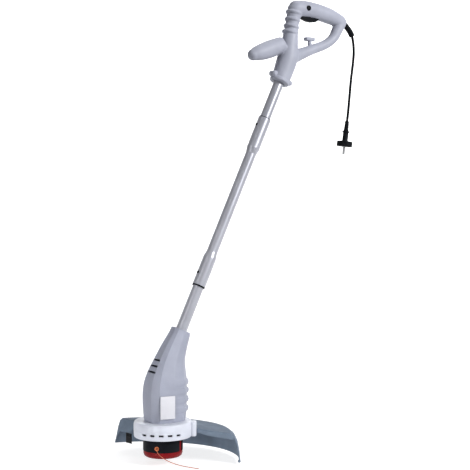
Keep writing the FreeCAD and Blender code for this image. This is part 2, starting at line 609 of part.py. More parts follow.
# ---- line head ----------------------------------------------------------------------------------
def spool_head():
    """Cup on the motor shaft, with the eyelet, the latched cover, the knob and the line."""
    inner = SPOOL_R - 2.4
    cup = [(MOTOR_SHAFT_R, 30), (MOTOR_SHAFT_R, 56), (8.5, 56), (8.5, SPOOL_TOP), (SPOOL_R - 2, SPOOL_TOP),
           (SPOOL_R, SPOOL_TOP - 2), (SPOOL_R, SPOOL_LOW), (inner, SPOOL_LOW), (inner, SPOOL_TOP - 3),
           (8.5, SPOOL_TOP - 3), (8.5, 30)]
    housing = revolve_half(cup, 0, 360)
    for angle in (-60, 120):
        housing = housing.cut(turned(block(30, 50, -5.2, 5.2, 12, 36), angle))
    eye_hole = turned(Part.makeCylinder(3.6, 20, V(34, 0, EYELET_Z), X), EYELET_ANGLE)
    save("spool_housing", housing.cut(eye_hole))
    eye = fused([Part.makeCylinder(3.55, 4.2, V(40, 0, EYELET_Z), X),
                 Part.makeCylinder(4.7, 1.3, V(SPOOL_R, 0, EYELET_Z), X)])
    eye = eye.cut(Part.makeCylinder(LINE_R + 1.8, 12, V(36, 0, EYELET_Z), X))
    save("line_eyelet", turned(eye, EYELET_ANGLE))

    cover = [(27.5, -1), (38, -1), (41.5, 1.5), (SPOOL_R - 0.8, 6.5), (SPOOL_R - 0.8, SPOOL_LOW - 0.1),
             (27.5, SPOOL_LOW - 0.1)]
    cap = revolve_half(cover, 0, 360)
    tabs = []
    for angle in (-60, 120):
        tabs.append(turned(block(38.6, 42.4, -5, 5, SPOOL_LOW - 1, 35.5), angle))
    save("spool_cover", fused([cap] + tabs))

    knob = [(0, -3), (20, -3), (25, -1.8), (27.1, 1.5), (27.1, 12), (23, 14.6), (0, 14.6)]
    save("bump_knob", revolve_half(knob, 0, 360))
    reel = [(9, 15), (37.6, 15), (37.6, 16.6), (16, 16.6), (16, 30), (37.6, 30), (37.6, 31.6), (9, 31.6)]
    save("spool", revolve_half(reel, 0, 360))
    wound = ring(33, 16.05, 16.7, 29.9)
    save("wound_line", wound)
    save("spool_spring", coil(11.5, 0.5, 6.0, 2.5, V(0, 0, 31.8), Z))
    save("trimmer_line", cord_tube(LINE_ROUTE, LINE_R, "trimmer_line"))


handle_shells()
trigger_parts()
cord_parts()
cord_hook()
shaft_tubes()
snap_parts("upper", SNAP_UPPER)
snap_parts("lower", SNAP_LOWER)
inner_cable()
motor_housing()
motor()
fan()
base_ring()
guard_parts()
spool_head()
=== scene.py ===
"""String trimmer: loop handle, three-part shaft, upright motor head, guard and bump-feed line head.

The sizes are in millimetres in the drawing's frame: X from the head towards the user, Y to the far
side, Z up along the spool axis, zero at the middle of the spool's underside.
"""

import json
import math

import bmesh
import bpy
from mathutils import Matrix, Vector

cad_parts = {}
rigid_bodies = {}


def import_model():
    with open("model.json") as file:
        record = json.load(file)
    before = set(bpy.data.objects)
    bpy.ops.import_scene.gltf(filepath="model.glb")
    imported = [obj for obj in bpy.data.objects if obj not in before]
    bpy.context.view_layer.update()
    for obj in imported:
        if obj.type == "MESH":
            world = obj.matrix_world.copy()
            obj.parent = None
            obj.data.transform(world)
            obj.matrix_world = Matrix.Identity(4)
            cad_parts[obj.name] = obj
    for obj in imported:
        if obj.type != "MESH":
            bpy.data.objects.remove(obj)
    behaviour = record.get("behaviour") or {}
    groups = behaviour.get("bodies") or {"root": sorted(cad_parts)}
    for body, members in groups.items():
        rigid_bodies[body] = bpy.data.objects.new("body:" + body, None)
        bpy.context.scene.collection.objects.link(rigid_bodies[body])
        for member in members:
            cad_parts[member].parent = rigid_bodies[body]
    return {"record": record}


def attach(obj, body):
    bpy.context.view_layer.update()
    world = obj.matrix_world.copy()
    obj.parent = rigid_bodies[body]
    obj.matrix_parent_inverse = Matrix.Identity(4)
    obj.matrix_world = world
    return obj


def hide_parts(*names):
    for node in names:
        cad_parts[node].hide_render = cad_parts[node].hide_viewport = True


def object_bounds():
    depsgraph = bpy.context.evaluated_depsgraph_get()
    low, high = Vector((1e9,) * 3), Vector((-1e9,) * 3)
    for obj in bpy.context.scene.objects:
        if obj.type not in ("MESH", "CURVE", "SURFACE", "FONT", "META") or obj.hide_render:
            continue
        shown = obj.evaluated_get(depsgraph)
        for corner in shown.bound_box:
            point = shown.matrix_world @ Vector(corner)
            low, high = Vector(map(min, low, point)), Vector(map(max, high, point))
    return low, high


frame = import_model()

bl_info = {
    "name": "String Trimmer",
    "version": (1, 0, 0),
    "blender": (4, 5, 0),
    "location": "View3D > Sidebar > Trimmer",
    "description": "Builds a corded string trimmer around its packed mechanism",
    "category": "Add Mesh",
}

CAD_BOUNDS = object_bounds()

MM = 0.001
GRIP_MIDDLE = Vector((450, 0, 1001))
LEAN = math.radians(26.15)          # shaft, from upright
SHAFT_FOOT = Vector((0, 0, 174))
ALONG = Vector((math.sin(LEAN), 0, math.cos(LEAN)))
FRONT = Vector((-math.cos(LEAN), 0, math.sin(LEAN)))
TUBE_R = 12.5
Y_AXIS = Vector((0, 1, 0))
Z_AXIS = Vector((0, 0, 1))
WELL_R = 3.4                        # screw wells of the shells
SHELL_VOXEL = 0.0012                # grain at which a handle shell is softened, in metres
SPLIT_GAP = 0.12                    # half the parting line between two shells

# Handle: x, z and radius along each of its limbs.
NECK = [(322.5, 831, 21.5), (337, 861, 23.5), (349, 893, 24.5), (354.5, 925, 20.5), (359.5, 955, 17),
        (364.5, 982, 16.5), (372.5, 1007, 19.5)]
GRIP = [(375.5, 1007.5, 20), (405, 1008, 20), (440, 1004.5, 19.5), (478, 997, 18.5), (512, 986.5, 15.5)]
REAR_ARM = [(511, 985, 15), (499, 962, 13.5), (485.5, 943.5, 12), (460, 928, 11.5), (424, 915.5, 12),
            (385, 901.5, 14.5), (353, 891, 19)]
FRONT_LOBE = [(248, 892.5, 13.5), (259, 896.5, 17), (277, 902, 19.5), (303, 911, 20.5), (332, 922, 18)]
ROUND_ENDS = [(375.2, 1007.3, 20.1), (511.5, 985.8, 15.3), (248.6, 892.9, 13.8), (351, 892.5, 24)]
HANDLE_SCREWS = [(368, 976), (494, 962), (440, 922.5), (268, 902.5)]
NECK_RINGS = [(357.5, 951, 16.2), (361.3, 964.5, 15.7), (364.3, 980.5, 15.4), (368.5, 997, 16.4)]
EAR_S = 745
EAR_REACH = 24.5
EAR_R = 6.0

# Motor housing: one side of its section, x and half width, then height, middle and scale.
HOUSING_SIDE = [(-46, 18), (-34, 34), (3, 42), (30, 39), (46, 24), (51, 8)]
HOUSING_LEVELS = [(77, 3.3, 0.907), (95, 3.6, 0.949), (127, 3.2, 0.973), (150, 3.9, 0.963),
                  (170, 6.1, 0.918), (190, 9.7, 0.816), (208, 14.9, 0.712), (226, 22.4, 0.642),
                  (246, 32, 0.574), (270, 45, 0.49), (294, 57, 0.455)]
HOUSING_TOP = 110
RIBS = [104, 124, 144, 162]
RIB_HEIGHT = 3.8
RIB_SHOULDER = 2.8
SLOTS = 3
SLOT_TOP = 212
SLOT_PITCH = 12.5
LABEL = ((-29.5, -42.2, 87), (4.5, -37.2, 137))
LABEL_TURN = -12.2
HOUSING_SCREWS = [(-33, 92), (38, 92), (3, 199), (33, 196), (15, 246)]

# Base ring and guard: radius and height.
RING_PROFILE = [(60.5, 43), (62.6, 43), (63.6, 44), (64.2, 46), (64.6, 59.0), (64.1, 59.6),
                (64.1, 60.4), (64.6, 61.0), (64.5, 68), (64, 72.5), (63, 75.4), (61, 77), (33, 77),
                (33, 73.4), (60, 73.4), (60.8, 70), (60.8, 52), (13, 52), (13, 49), (60.8, 49)]
RING_INSIDE = (62, 49.5, 75)        # the hollow of the base, whose faces get painted shade: radius, lowest and highest
VENT_MIDDLE = 234
VENT_PITCH = 17.7
VENTS_ASIDE = 2                     # air slots on either side of the middle one
GUARD_FROM = -41
GUARD_TO = 98.5
GUARD_LOW = -12
GUARD_THICK = 2.8
PLATE_TOP = [(66.8, 64), (72, 60.5), (136, 51.5), (149, 51), (158.5, 43.5), (165, 29), (169, 8),
             (171, GUARD_LOW)]
PLATE_END = [(66.8, 62), (72, 56), (100, 45), (118, 33), (152, 31), (161, 20), (166, 10), (170, 0)]
GUARD_BEND = 96
GUARD_RISE = [(GUARD_FROM, 0), (-20, 0), (0, 0), (20, 0), (40, 0.7), (58, 2.6), (74, 5.8), (GUARD_BEND, 11)]
BLADE_ANGLE = 97

# Cords: the points that their lines run by.
LEAD_ROUTE = [(549.5, 0, 955), (555, 0.6, 937), (556.6, 1.2, 911), (552.8, 1.0, 883), (547.3, 0, 855),
              (542.9, -1.2, 827), (539.8, -1.6, 799), (537.4, -1.0, 773), (534.7, 0, 748)]
LINE_ROUTE = [(-33.7, -28.3, 22.5), (-40.5, -38, 20.5), (-44.5, -54, 15.5), (-43, -73, 9.8),
              (-36.5, -92, 4.8), (-25.5, -109, 0.8), (-11.5, -123.5, -2.2), (3, -136, -4.5)]
RELIEF_ROUTE = [(516, 0, 989.5), (524, 0, 983), (533.5, 0, 974.3), (542, 0, 965.5), (549.5, 0, 955)]


# Stage, in metres and degrees.
CAMERA_PLACE = (-1.86247, -2.21480, -0.38201)
CAMERA_TILT = 87.1
CAMERA_AZIMUTH = -36
CAMERA_LENS = 91.85
CAMERA_SENSOR = 36
FLOOR_SIZE = (14, 4.45)
FLOOR_MIDDLE = 1.775
FLOOR_DROP = 0.003                  # floor below the tool's lowest point
SWEEP_RADIUS = 1.5
SWEEP_STEPS = 16
WALL_HEIGHT = 6
# Lamps, in metres: place, diameter, power, spread in degrees and the point they look at.
LAMPS = [((1.5, -4.3, 1.7), 1.3, 300, 180, (0, 0, -0.5)),
         ((-4.0, -1.2, 1.2), 2.2, 27, 180, (-0.1, 0, -0.5)),
         ((-2.6, -1.0, -0.95), 0.8, 1.0, 30, (-0.45, 0, -0.85)),
         ((0.2, 0.9, 2.6), 2.4, 22, 180, (0, 0.2, -0.6)),
         ((3.2, 3.4, 1.5), 3.0, 150, 180, (2.6, 6.5, 0)),
         ((0.4, 4.6, 1.8), 3.0, 150, 180, (4.5, 7.0, -0.2))]


# ---- sizes and colours that a user may change ---------------------------------------------------
def colour(label, words, value):
    return bpy.props.FloatVectorProperty(
        name=label, description=words, default=value, subtype="COLOR", size=3, min=0, max=1)


class TrimmerColours(bpy.types.PropertyGroup):
    """Colours of the trimmer's mouldings, tubes, lead and line."""

    shell: colour("Housing shell", "Satin plastic of the motor housing", (0.285, 0.30, 0.368))
    handle: colour("Handle", "Satin plastic of the loop handle", (0.335, 0.348, 0.415))
    ring: colour("Base ring", "Plastic of the round base", (0.55, 0.572, 0.64))
    guard: colour("Guard", "Smoky plastic of the guard", (0.135, 0.17, 0.22))
    tube: colour("Shaft tube", "Painted tube", (0.375, 0.382, 0.43))
    black: colour("Black plastic", "Trigger, line head and plug", (0.004, 0.005, 0.007))
    red: colour("Red plastic", "Spool cover and its latches", (0.155, 0.003, 0.005))
    line: colour("Cutting line", "Nylon line", (0.52, 0.13, 0.06))
    floor: colour("Floor", "Seamless studio floor", (0.32, 0.32, 0.325))


class TrimmerSizes(bpy.types.PropertyGroup):
    """Sizes of the trimmer's cords and of its finish."""

    lead_diameter: bpy.props.FloatProperty(
        name="Lead diameter", description="Outside of the mains lead", default=0.0065, unit="LENGTH")
    line_diameter: bpy.props.FloatProperty(
        name="Line diameter", description="Thickness of the cutting line", default=0.0016, unit="LENGTH")
    blend_width: bpy.props.FloatProperty(
        name="Handle voxel", description="Grain at which the handle's limbs are blended",
        default=0.0015, unit="LENGTH")
    edge: bpy.props.FloatProperty(
        name="Edge rounding", description="Bevel on moulded edges", default=0.0007, unit="LENGTH")
    grain: bpy.props.FloatProperty(
        name="Moulding grain", description="Size of the plastic's spark-eroded grain",
        default=0.0006, unit="LENGTH")


# ---- modelling helpers --------------------------------------------------------------------------
def at(point):
    """A point of the drawing, in metres from the middle of the rear grip."""
    return (Vector(point) - GRIP_MIDDLE) * MM


def on_shaft(along, out=0.0):
    return SHAFT_FOOT + ALONG * along + FRONT * out


def deselect():
    if bpy.context.mode != "OBJECT":
        bpy.ops.object.mode_set(mode="OBJECT")
    bpy.ops.object.select_all(action="DESELECT")


def choose(piece):
    deselect()
    piece.select_set(True)
    bpy.context.view_layer.objects.active = piece


def named(name):
    piece = bpy.context.view_layer.objects.active
    piece.name = name
    piece.data.name = name
    return piece


def settle(piece):
    """Put the piece's place into its mesh."""
    choose(piece)
    bpy.ops.object.transform_apply(location=True, rotation=True, scale=True)
    return piece


def modify(piece, kind, **settings):
    """Add a modifier, set it and apply it."""
    choose(piece)
    modifier = piece.modifiers.new(kind.title(), kind)
    for key, value in settings.items():
        setattr(modifier, key, value)
    bpy.ops.object.modifier_apply(modifier=modifier.name)
    return piece


def carve(piece, cutter, operation="DIFFERENCE"):
    """Cut another closed piece away from this one, or join it on, and throw the cutter away."""
    modify(piece, "BOOLEAN", object=cutter, operation=operation, solver="EXACT")
    bpy.data.objects.remove(cutter)
    return piece


def joined(pieces, name):
    choose(pieces[0])
    for piece in pieces[1:]:
        piece.select_set(True)
    if len(pieces) > 1:
        bpy.ops.object.join()
    return named(name)


def outward(piece, gap=1e-6):
    """Merge doubles and turn the faces outwards."""
    choose(piece)
    bpy.ops.object.mode_set(mode="EDIT")
    bpy.ops.mesh.select_all(action="SELECT")
    bpy.ops.mesh.remove_doubles(threshold=gap)
    bpy.ops.mesh.normals_make_consistent(inside=False)
    bpy.ops.object.mode_set(mode="OBJECT")
    return piece


def smooth(piece, degrees=35):
    choose(piece)
    bpy.ops.object.shade_smooth_by_angle(angle=math.radians(degrees))
    return piece


def set_ring(piece, ring):
    """Put the selected ring of points in its place, by the number each point carries."""
    form = bmesh.from_edit_mesh(piece.data)
    order = form.verts.layers.int.get("order")
    for vert in form.verts:
        if vert.select:
            vert.co = ring[vert[order]]
    bmesh.update_edit_mesh(piece.data)


def loft(name, rings):
    """A closed skin through rings of points, each extruded from the one before."""
    rings = [[at(point) for point in ring] for ring in rings]
    deselect()
    bpy.ops.mesh.primitive_circle_add(vertices=len(rings[0]), fill_type="NGON")
    piece = named(name)
    bpy.ops.object.mode_set(mode="EDIT")
    form = bmesh.from_edit_mesh(piece.data)
    order = form.verts.layers.int.new("order")
    form.verts.ensure_lookup_table()
    for number, vert in enumerate(form.verts):
        vert[order] = number
    bmesh.update_edit_mesh(piece.data)
    set_ring(piece, rings[0])
    for ring in rings[1:]:
        bpy.ops.mesh.extrude_region_move()
        set_ring(piece, ring)
    bpy.ops.mesh.select_all(action="SELECT")
    bpy.ops.mesh.normals_make_consistent(inside=False)
    bpy.ops.object.mode_set(mode="OBJECT")
    return piece


def spun(name, profile, steps=96):
    """A profile of radius and height, closed on itself, turned round the spool axis."""
    deselect()
    bpy.ops.mesh.primitive_circle_add(vertices=len(profile), fill_type="NOTHING")
    piece = named(name)
    for vert, (radius, height) in zip(piece.data.vertices, profile):
        vert.co = at((radius, 0, height))
    bpy.ops.object.mode_set(mode="EDIT")
    bpy.ops.mesh.select_all(action="SELECT")
    bpy.ops.mesh.spin(steps=steps, angle=2 * math.pi, center=at((0, 0, 0)), axis=(0, 0, 1))
    bpy.ops.object.mode_set(mode="OBJECT")
    return outward(piece, 2e-6)


def box(name, low, high, edge=0.0, turn=0.0):
    """A block between two corners, with bevelled edges, turned round the spool axis."""
    low, high = at(low), at(high)
    deselect()
    bpy.ops.mesh.primitive_cube_add(size=1, location=(low + high) / 2)
    piece = named(name)
    piece.scale = high - low
    settle(piece)
    if edge:
        modify(piece, "BEVEL", width=edge * MM, segments=3, limit_method="NONE")
    if turn:
        centre = at((0, 0, 0))
        spin = Matrix.Rotation(math.radians(turn), 4, "Z")
        piece.data.transform(Matrix.Translation(centre) @ spin @ Matrix.Translation(-centre))
    return piece


def rod(name, centre, way, radius, length, edge=0.0, vertices=48):
    """A round bar from a point along a direction, with bevelled rims."""
    way = Vector(way).normalized()
    middle = Vector(centre) + way * length / 2
    deselect()
    bpy.ops.mesh.primitive_cylinder_add(
        vertices=vertices, radius=radius * MM, depth=length * MM, location=at(middle),
        rotation=Z_AXIS.rotation_difference(way).to_euler())
    piece = settle(named(name))
    if edge:
        modify(piece, "BEVEL", width=edge * MM, segments=3, limit_method="ANGLE",
               angle_limit=math.radians(40))
    return piece


def across(name, radius, x, z, low, high, edge=0.0):
    return rod(name, (x, low, z), Y_AXIS, radius, high - low, edge)


def softened_line(stations, steps):
    """Stations joined by a smooth curve through them all."""
    def blended(a, b, c, d, t):
        return 0.5 * (2 * b + (c - a) * t + (2 * a - 5 * b + 4 * c - d) * t ** 2
                      + (3 * b - a - 3 * c + d) * t ** 3)

    full = [stations[0]] + list(stations) + [stations[-1]]
    out = []
    for i in range(len(stations) - 1):
        for k in range(steps):
            out.append(tuple(blended(*(full[i + j][n] for j in range(4)), k / steps)
                             for n in range(len(stations[0]))))
    return out + [tuple(stations[-1])]


def round_ring(centre, way, radius, count):
    """Points of a circle square to a direction that has no turn about it."""
    way = Vector(way).normalized()
    side = Y_AXIS - way * way.dot(Y_AXIS)
    side.normalize()
    other = way.cross(side)
    turns = [2 * math.pi * i / count for i in range(count)]
    return [Vector(centre) + (side * math.cos(t) + other * math.sin(t)) * radius for t in turns]


def limb(name, stations, steps=5, count=40):
    """A round limb with a changing radius along its middle line."""
    line = softened_line(stations, steps)
    rings = []
    for i, (x, z, radius) in enumerate(line):
        ahead = line[min(i + 1, len(line) - 1)]
        behind = line[max(i - 1, 0)]
        way = (ahead[0] - behind[0], 0, ahead[1] - behind[1])
        rings.append(round_ring((x, 0, z), way, radius, count))
    return loft(name, rings)


def copied(node, name, edge):
    """A copy of a frame part with its seams merged and its edges rounded."""
    source = bpy.data.objects[node]
    piece = bpy.data.objects.new(name, source.data.copy())
    bpy.context.scene.collection.objects.link(piece)
    piece.data.materials.clear()
    piece.matrix_world = source.matrix_world
    outward(piece, 1e-5)
    bpy.ops.object.mode_set(mode="EDIT")
    bpy.ops.mesh.select_all(action="SELECT")
    bpy.ops.mesh.dissolve_limited(angle_limit=math.radians(1.5))
    bpy.ops.object.mode_set(mode="OBJECT")
    modify(piece, "BEVEL", width=edge, segments=2, limit_method="ANGLE",
           angle_limit=math.radians(42), use_clamp_overlap=True)
    return smooth(piece)


def finish(piece, material, body, slot, *nodes):
    """Give a piece its material and its body, and hide the frame parts it stands for; the slot is not used.
    """
    piece.data.materials.clear()
    piece.data.materials.append(material)
    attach(piece, body)
    if nodes:
        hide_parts(*nodes)
    return piece


# ---- materials ----------------------------------------------------------------------------------
class Shade:
    """Node building for one material."""

    def __init__(self, name):
        self.material = bpy.data.materials.new(name)
        self.material.use_nodes = True
        self.nodes = self.material.node_tree.nodes
        self.links = self.material.node_tree.links
        self.shader = self.nodes["Principled BSDF"]
        self.coords = self.nodes.new("ShaderNodeTexCoord")

    def mapped(self, lean=0.0, stretch=(1, 1, 1)):
        node = self.nodes.new("ShaderNodeMapping")
        node.vector_type = "TEXTURE"
        node.inputs["Rotation"].default_value = (0, lean, 0)
        node.inputs["Scale"].default_value = stretch
        self.links.new(self.coords.outputs["Object"], node.inputs["Vector"])
        return node.outputs["Vector"]

    def noise(self, vector, size, detail=2.0, rough=0.5):
        node = self.nodes.new("ShaderNodeTexNoise")
        node.inputs["Scale"].default_value = 1 / size
        node.inputs["Detail"].default_value = detail
        node.inputs["Roughness"].default_value = rough
        self.links.new(vector, node.inputs["Vector"])
        return node.outputs["Fac"]

    def ranged(self, value, low, high, out_low, out_high):
        node = self.nodes.new("ShaderNodeMapRange")
        settings = (("From Min", low), ("From Max", high), ("To Min", out_low), ("To Max", out_high))
        for key, number in settings:
            node.inputs[key].default_value = number
        self.links.new(value, node.inputs["Value"])
        return node.outputs["Result"]

    def mixed(self, factor, first, second):
        node = self.nodes.new("ShaderNodeMix")
        node.data_type = "RGBA"
        node.inputs["A"].default_value = (*first, 1)
        node.inputs["B"].default_value = (*second, 1)
        self.links.new(factor, node.inputs["Factor"])
        return node.outputs["Result"]

    def bump(self, height, depth, strength=1.0, under=None):
        node = self.nodes.new("ShaderNodeBump")
        node.inputs["Distance"].default_value = depth
        node.inputs["Strength"].default_value = strength
        self.links.new(height, node.inputs["Height"])
        if under:
            self.links.new(under, node.inputs["Normal"])
        return node.outputs["Normal"]

    def bands(self, direction, size):
        node = self.nodes.new("ShaderNodeTexWave")
        node.bands_direction = direction
        node.inputs["Scale"].default_value = 0.314 / size
        node.inputs["Distortion"].default_value = 0.4
        self.links.new(self.mapped(), node.inputs["Vector"])
        return node.outputs["Fac"]

    def feed(self, output, socket):
        self.links.new(output, self.shader.inputs[socket])


def toned(value, factor):
    return tuple(min(1.0, channel * factor) for channel in value)


def moulded(name, base, grain, roughness=0.5, specular=0.3, depth=0.00004):
    """Moulded plastic: fine grain, a faint drift of tone, and handling marks in the gloss."""
    shade = Shade(name)
    vector = shade.mapped()
    drift = shade.ranged(shade.noise(vector, 0.045, 3), 0.35, 0.65, 0, 1)
    shade.feed(shade.mixed(drift, toned(base, 0.94), toned(base, 1.05)), "Base Color")
    marks = shade.ranged(shade.noise(vector, 0.009, 6, 0.7), 0.35, 0.7, roughness - 0.06, roughness + 0.1)
    shade.feed(marks, "Roughness")
    grained = shade.bump(shade.noise(vector, grain, 2), depth)
    shade.feed(shade.bump(shade.noise(vector, 0.02, 1), 0.0003, 0.25, grained), "Normal")
    shade.shader.inputs["Specular IOR Level"].default_value = specular
    return shade.material


def painted_tube(name, base):
    """Painted shaft tube, with drawing lines that run along it."""
    shade = Shade(name)
    lined = shade.noise(shade.mapped(LEAN, (1, 1, 60)), 0.0012, 3)
    drift = shade.ranged(shade.noise(shade.mapped(), 0.06, 2), 0.35, 0.65, 0, 1)
    shade.feed(shade.mixed(drift, toned(base, 0.96), toned(base, 1.04)), "Base Color")
    shade.feed(shade.ranged(lined, 0.3, 0.7, 0.34, 0.44), "Roughness")
    shade.feed(shade.bump(lined, 0.00002, 0.5), "Normal")
    shade.shader.inputs["Metallic"].default_value = 0.4
    shade.shader.inputs["Coat Weight"].default_value = 0.5
    shade.shader.inputs["Coat Roughness"].default_value = 0.15
    return shade.material


def brushed(name, base, roughness=0.32, size=0.0008, stretch=(1, 20, 1)):
    """Bare metal with a brushed grain and small stains."""
    shade = Shade(name)
    lined = shade.noise(shade.mapped(0, stretch), size, 3)
    stain = shade.ranged(shade.noise(shade.mapped(), 0.006, 5), 0.4, 0.7, 0, 1)
    shade.feed(shade.mixed(stain, base, toned(base, 0.8)), "Base Color")
    shade.feed(shade.ranged(lined, 0.3, 0.7, roughness - 0.08, roughness + 0.1), "Roughness")
    shade.feed(shade.bump(lined, 0.00003, 0.6), "Normal")
    shade.shader.inputs["Metallic"].default_value = 1
    return shade.material


def banded(name, base, direction, size, metallic, roughness):
    """Windings, laminations and drawn line: fine bands one after another."""
    shade = Shade(name)
    bands = shade.bands(direction, size)
    shade.feed(shade.mixed(bands, toned(base, 0.7), base), "Base Color")
    stain = shade.noise(shade.mapped(), 0.005, 4)
    shade.feed(shade.ranged(stain, 0.3, 0.7, roughness - 0.06, roughness + 0.1), "Roughness")
    shade.feed(shade.bump(bands, size * 0.3, 0.6), "Normal")
    shade.shader.inputs["Metallic"].default_value = metallic
    return shade.material


def rubbered(name, base, roughness=0.55):
    """Soft black sheath: matt, with fine flow marks along it and a little dust."""
    shade = Shade(name)
    vector = shade.mapped()
    dust = shade.ranged(shade.noise(vector, 0.004, 6, 0.7), 0.5, 0.8, 0, 1)
    shade.feed(shade.mixed(dust, base, tuple(channel + 0.008 for channel in base)), "Base Color")
    shade.feed(shade.ranged(shade.noise(vector, 0.01, 3), 0.3, 0.7, roughness - 0.08, roughness + 0.08),
               "Roughness")
    shade.feed(shade.bump(shade.noise(vector, 0.0007, 2), 0.00005, 0.6), "Normal")
    shade.shader.inputs["Specular IOR Level"].default_value = 0.08
    return shade.material


def smoky(name, base, grain):
    """The guard's plastic: half gloss, with flow lines that run out from the collar."""
    shade = Shade(name)
    vector = shade.mapped()
    drift = shade.ranged(shade.noise(vector, 0.03, 4), 0.3, 0.7, 0, 1)
    shade.feed(shade.mixed(drift, toned(base, 0.9), toned(base, 1.1)), "Base Color")
    shade.feed(shade.ranged(shade.noise(vector, 0.012, 5, 0.65), 0.35, 0.7, 0.55, 0.7), "Roughness")
    grained = shade.bump(shade.noise(vector, grain, 2), 0.00003)
    shade.feed(shade.bump(shade.noise(vector, 0.016, 1), 0.0004, 0.2, grained), "Normal")
    shade.shader.inputs["Specular IOR Level"].default_value = 0.03
    return shade.material


MATERIALS = {}
# Nodes whose finish differs from the one of their material slot.
OWN_FINISH = {"line_eyelet": "eyelet", "blade_screws": "blued_steel"}


def make_materials(colours, sizes):
    """One material for each finish in the record, with others for the handle, label and eyelet."""
    grain = sizes.grain
    black = tuple(colours.black)
    finishes = {
        "grey_shell": moulded("housing_shell", tuple(colours.shell), grain),
        "handle": moulded("handle_shell", tuple(colours.handle), grain),
        "white_ring": moulded("base_ring_plastic", tuple(colours.ring), grain, 0.38),
        "guard_plastic": smoky("guard_plastic", tuple(colours.guard), grain),
        "tube": painted_tube("shaft_tube", tuple(colours.tube)),
        "steel": brushed("bright_steel", (0.55, 0.56, 0.57)),
        "blued_steel": brushed("blued_steel", (0.02, 0.021, 0.024), 0.5),
        "black_plastic": moulded("black_plastic", black, grain, 0.5, 0.07),
        "black_rubber": rubbered("black_rubber", black),
        "cord": rubbered("lead_sheath", black, 0.48),
        "red_plastic": moulded("red_plastic", tuple(colours.red), grain, 0.42, 0.12),
        "copper": banded("enamelled_wire", (0.62, 0.26, 0.12), "Z", 0.0005, 0.9, 0.35),
        "brass": brushed("turned_brass", (0.72, 0.42, 0.17), 0.28),
        "eyelet": brushed("copper_eyelet", (0.40, 0.12, 0.05), 0.45),
        "line": banded("nylon_line", tuple(colours.line), "X", 0.003, 0.0, 0.3),
        "core_steel": banded("laminated_steel", (0.25, 0.25, 0.26), "Z", 0.0005, 1.0, 0.45),
        "carbon": rubbered("pressed_carbon", (0.03, 0.03, 0.03), 0.6),
        "spring_steel": brushed("spring_wire", (0.6, 0.6, 0.62), 0.25),
        "component": moulded("component_case", (0.08, 0.08, 0.09), grain, 0.45),
        "label": moulded("blank_label", (0.56, 0.56, 0.60), 0.0004, 0.5, 0.3, 0.00001),
    }
    MATERIALS.update(finishes)


# ---- operators ----------------------------------------------------------------------------------
class BuildOperator(bpy.types.Operator):
    bl_options = {"REGISTER", "UNDO"}

    def execute(self, context):
        self.build(context.scene.trimmer_sizes, context.scene.trimmer_colours)
        return {"FINISHED"}


class TRIMMER_OT_stage(BuildOperator):
    """Camera, seamless floor and soft studio lights"""

    bl_idname = "trimmer.stage"
    bl_label = "Stage"

    def build(self, sizes, colours):
        scene = bpy.context.scene
        deselect()
        turn = (math.radians(CAMERA_TILT), 0, math.radians(CAMERA_AZIMUTH))
        bpy.ops.object.camera_add(location=CAMERA_PLACE, rotation=turn)
        camera = bpy.context.object
        camera.data.sensor_width = CAMERA_SENSOR
        camera.data.lens = CAMERA_LENS
        scene.camera = camera
        scene.view_settings.view_transform = "Standard"

        floor = self.floor(colours)
        self.lights()
        world = bpy.data.worlds.new("studio")
        world.use_nodes = True
        scene.world = world
        background = world.node_tree.nodes["Background"]
        background.inputs["Color"].default_value = (0.97, 0.98, 1.0, 1)
        background.inputs["Strength"].default_value = 0.22

    def floor(self, colours):
        """A floor that sweeps up into a wall behind the tool."""
        level = CAD_BOUNDS[0][2] - FLOOR_DROP
        deselect()
        bpy.ops.mesh.primitive_plane_add(size=1, location=(0, 0, level))
        floor = named("studio_floor")
        floor.scale = (*FLOOR_SIZE, 1)
        floor.location.y = FLOOR_MIDDLE
        settle(floor)
        bpy.ops.object.mode_set(mode="EDIT")
        form = bmesh.from_edit_mesh(floor.data)
        for edge in form.edges:
            edge.select = all(vert.co.y > FLOOR_MIDDLE for vert in edge.verts)
        form.select_mode = {"EDGE"}
        form.select_flush_mode()
        bmesh.update_edit_mesh(floor.data)
        length = SWEEP_RADIUS * math.pi / 2 / SWEEP_STEPS
        for i in range(SWEEP_STEPS):
            angle = math.pi / 2 * (i + 0.5) / SWEEP_STEPS
            step = (0, length * math.cos(angle), length * math.sin(angle))
            bpy.ops.mesh.extrude_region_move(TRANSFORM_OT_translate={"value": step})
        bpy.ops.mesh.extrude_region_move(TRANSFORM_OT_translate={"value": (0, 0, WALL_HEIGHT)})
        bpy.ops.object.mode_set(mode="OBJECT")
        turn = Matrix.Rotation(math.radians(CAMERA_AZIMUTH), 4, "Z")
        floor.data.transform(turn)
        smooth(floor, 60)
        shade = Shade("studio_floor")
        base = tuple(colours.floor)
        drift = shade.noise(shade.mapped(), 0.4, 3)
        shade.feed(shade.mixed(drift, toned(base, 0.99), toned(base, 1.01)), "Base Color")
        shade.shader.inputs["Roughness"].default_value = 0.75
        shade.shader.inputs["Emission Color"].default_value = (1, 1, 1, 1)
        shade.shader.inputs["Emission Strength"].default_value = 0.8
        floor.data.materials.append(shade.material)
        return floor

    def lights(self):
        """Key above the camera's right shoulder, fills from its left, and washes for the wall."""
        for place, size, power, spread, target in LAMPS:
            deselect()
            way = Vector(target) - Vector(place)
            bpy.ops.object.light_add(type="AREA", location=place,
                                     rotation=way.to_track_quat("-Z", "Y").to_euler())
            lamp = bpy.context.object.data
            lamp.shape = "DISK"
            lamp.size = size
            lamp.energy = power
            lamp.spread = math.radians(spread)


